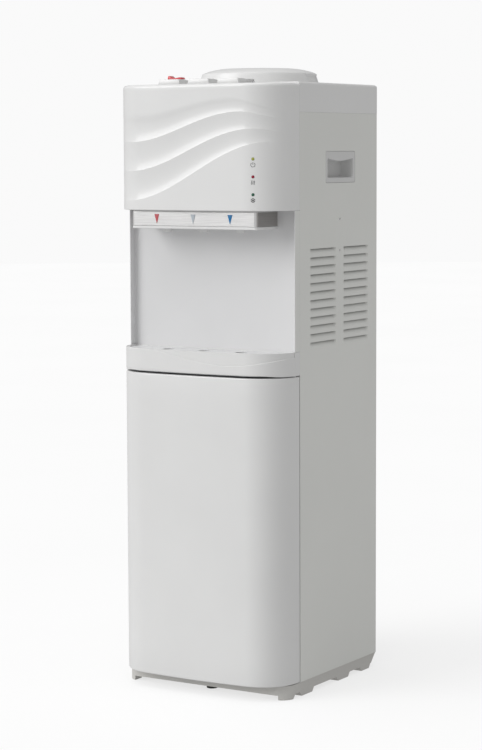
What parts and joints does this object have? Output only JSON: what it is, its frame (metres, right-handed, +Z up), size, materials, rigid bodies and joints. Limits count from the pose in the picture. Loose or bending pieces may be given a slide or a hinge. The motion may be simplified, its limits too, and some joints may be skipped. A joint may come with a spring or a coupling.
{
  "type": "water dispenser",
  "caption": "Floor-standing bottle-top water dispenser: storage cabinet with a hinged door, open cup niche with drip tray and taps, rounded head with push paddles.",
  "frame": {"origin": "on the floor, under the centre of the outer box", "axes": "+Z up, front with the taps towards -Y, +X to the right as seen from the front"},
  "size_m": [0.31, 0.331, 0.995],
  "materials": {
    "white_shell": "satin white moulded plastic",
    "white_steel": "satin white powder coat",
    "grey_base": "fine-grained moulded plastic",
    "zinc_steel": "galvanised sheet",
    "brushed_trim": "brushed along its length",
    "hot_red": "glossy",
    "marker_set": "printed red, pale blue and blue",
    "light_lens": "clear coloured lenses",
    "dark_plastic": "fine-grained",
    "grip_plastic": "fine-grained",
    "black_rubber": "matt",
    "milky_rubber": "silicone",
    "foam": "beaded foam",
    "tank_steel": "drawn stainless steel",
    "bright_alloy": "extruded",
    "ceramic": "white ceramic plate",
    "circuit": "solder mask",
    "pin_steel": "bright plated",
    "magnet": "sintered"
  },
  "bodies": {
    "cabinet": {"base_tray": "grey_base", "rubber_foot": "black_rubber", "right_side_panel": "white_steel", "left_side_panel": "white_steel", "case_screws": "pin_steel", "rear_panel": "white_steel", "mid_shelf": "zinc_steel", "hinge_pins": "pin_steel", "cabinet_back": "zinc_steel", "tray_bezel": "white_shell", "niche_panel": "white_shell", "tap_housing": "white_shell", "trim_strip": "brushed_trim", "taps": "white_shell", "tap_markers": "marker_set", "head_front_panel": "white_shell", "head_base": "white_shell", "indicator_lights": "light_lens", "indicator_board": "circuit", "top_cover": "white_shell", "right_grip": "grip_plastic", "left_grip": "grip_plastic", "button_plinth": "white_shell", "button_axle": "pin_steel", "neck_seal": "milky_rubber", "cold_tank": "tank_steel", "cold_foam": "foam", "tank_shelf": "zinc_steel", "cold_block": "bright_alloy", "cooling_module": "ceramic", "heat_sink": "bright_alloy", "fan_frame": "dark_plastic", "fan_grille": "dark_plastic", "hot_tank": "tank_steel", "heating_parts": "bright_alloy", "hot_foam": "foam", "water_tubes": "milky_rubber", "drain_bezel": "white_shell", "switch_frames": "dark_plastic", "cord_gland": "dark_plastic", "power_board": "circuit"},
    "door": {"door_outer": "white_shell", "door_inner": "white_shell", "door_magnet": "magnet"},
    "drip_tray": {"drip_tray": "white_shell"},
    "drip_grate": {"drip_grate": "white_shell"},
    "bottle_seat": {"bottle_collar": "white_shell", "bottle_probe": "white_shell"},
    "button_hot": {"button_hot": "white_shell"},
    "button_room": {"button_room": "white_shell"},
    "button_cold": {"button_cold": "white_shell"},
    "child_lock": {"child_lock": "hot_red"},
    "rod_hot": {"push_rod_hot": "white_shell"},
    "rod_room": {"push_rod_room": "white_shell"},
    "rod_cold": {"push_rod_cold": "white_shell"},
    "fan": {"fan_rotor": "dark_plastic"},
    "plug_hot": {"drain_plug_hot": "hot_red"},
    "plug_cold": {"drain_plug_cold": "white_shell"},
    "rocker_hot": {"rocker_hot": "hot_red"},
    "rocker_cold": {"rocker_cold": "dark_plastic"}
  },
  "joints": [
    {"name": "door_hinge", "type": "hinge", "parent": "cabinet", "child": "door", "pos_m": [0.149, -0.0963, 0.26], "axis": [0, 0, 1], "range_deg": [0, 95]},
    {"name": "drip_tray_lift", "type": "slide", "parent": "cabinet", "child": "drip_tray", "axis": [0, 0, 1], "range_m": [0, 0.06]},
    {"name": "drip_grate_lift", "type": "slide", "parent": "drip_tray", "child": "drip_grate", "axis": [0, 0, 1], "range_m": [0, 0.05]},
    {"name": "bottle_seat_lift", "type": "slide", "parent": "cabinet", "child": "bottle_seat", "axis": [0, 0, 1], "range_m": [0, 0.1]},
    {"name": "button_hot_press", "type": "hinge", "parent": "cabinet", "child": "button_hot", "pos_m": [-0.0545, -0.1, 0.9695], "axis": [1, 0, 0], "range_deg": [0, 5], "stiffness_Nm_per_rad": 1, "springref_deg": -3.44},
    {"name": "rod_hot_slide", "type": "slide", "parent": "cabinet", "child": "rod_hot", "axis": [0, 0, -1], "range_m": [0, 0.002]},
    {"name": "button_room_press", "type": "hinge", "parent": "cabinet", "child": "button_room", "pos_m": [0, -0.1, 0.9695], "axis": [1, 0, 0], "range_deg": [0, 5], "stiffness_Nm_per_rad": 1, "springref_deg": -3.44},
    {"name": "rod_room_slide", "type": "slide", "parent": "cabinet", "child": "rod_room", "axis": [0, 0, -1], "range_m": [0, 0.002]},
    {"name": "button_cold_press", "type": "hinge", "parent": "cabinet", "child": "button_cold", "pos_m": [0.0545, -0.1, 0.9695], "axis": [1, 0, 0], "range_deg": [0, 5], "stiffness_Nm_per_rad": 1, "springref_deg": -3.44},
    {"name": "rod_cold_slide", "type": "slide", "parent": "cabinet", "child": "rod_cold", "axis": [0, 0, -1], "range_m": [0, 0.002]},
    {"name": "child_lock_slide", "type": "slide", "parent": "button_hot", "child": "child_lock", "axis": [0, 1, 0], "range_m": [0, 0.003], "stiffness_N_per_m": 250, "springref_m": -0.001},
    {"name": "fan_spin", "type": "hinge", "parent": "cabinet", "child": "fan", "pos_m": [0, 0.155, 0.869], "axis": [0, 1, 0], "continuous": true},
    {"name": "plug_hot_pull", "type": "slide", "parent": "cabinet", "child": "plug_hot", "axis": [0, 1, 0], "range_m": [0, 0.03]},
    {"name": "plug_cold_pull", "type": "slide", "parent": "cabinet", "child": "plug_cold", "axis": [0, 1, 0], "range_m": [0, 0.03]},
    {"name": "rocker_hot_tip", "type": "hinge", "parent": "cabinet", "child": "rocker_hot", "pos_m": [-0.105, 0.162, 0.7], "axis": [1, 0, 0], "range_deg": [0, 10]},
    {"name": "rocker_cold_tip", "type": "hinge", "parent": "cabinet", "child": "rocker_cold", "pos_m": [-0.079, 0.162, 0.7], "axis": [1, 0, 0], "range_deg": [0, 10]}
  ],
  "couplings": [
    {"joint": "rod_hot_slide", "follows": "button_hot_press", "m_per_rad": 0.022},
    {"joint": "rod_room_slide", "follows": "button_room_press", "m_per_rad": 0.022},
    {"joint": "rod_cold_slide", "follows": "button_cold_press", "m_per_rad": 0.022}
  ]
}
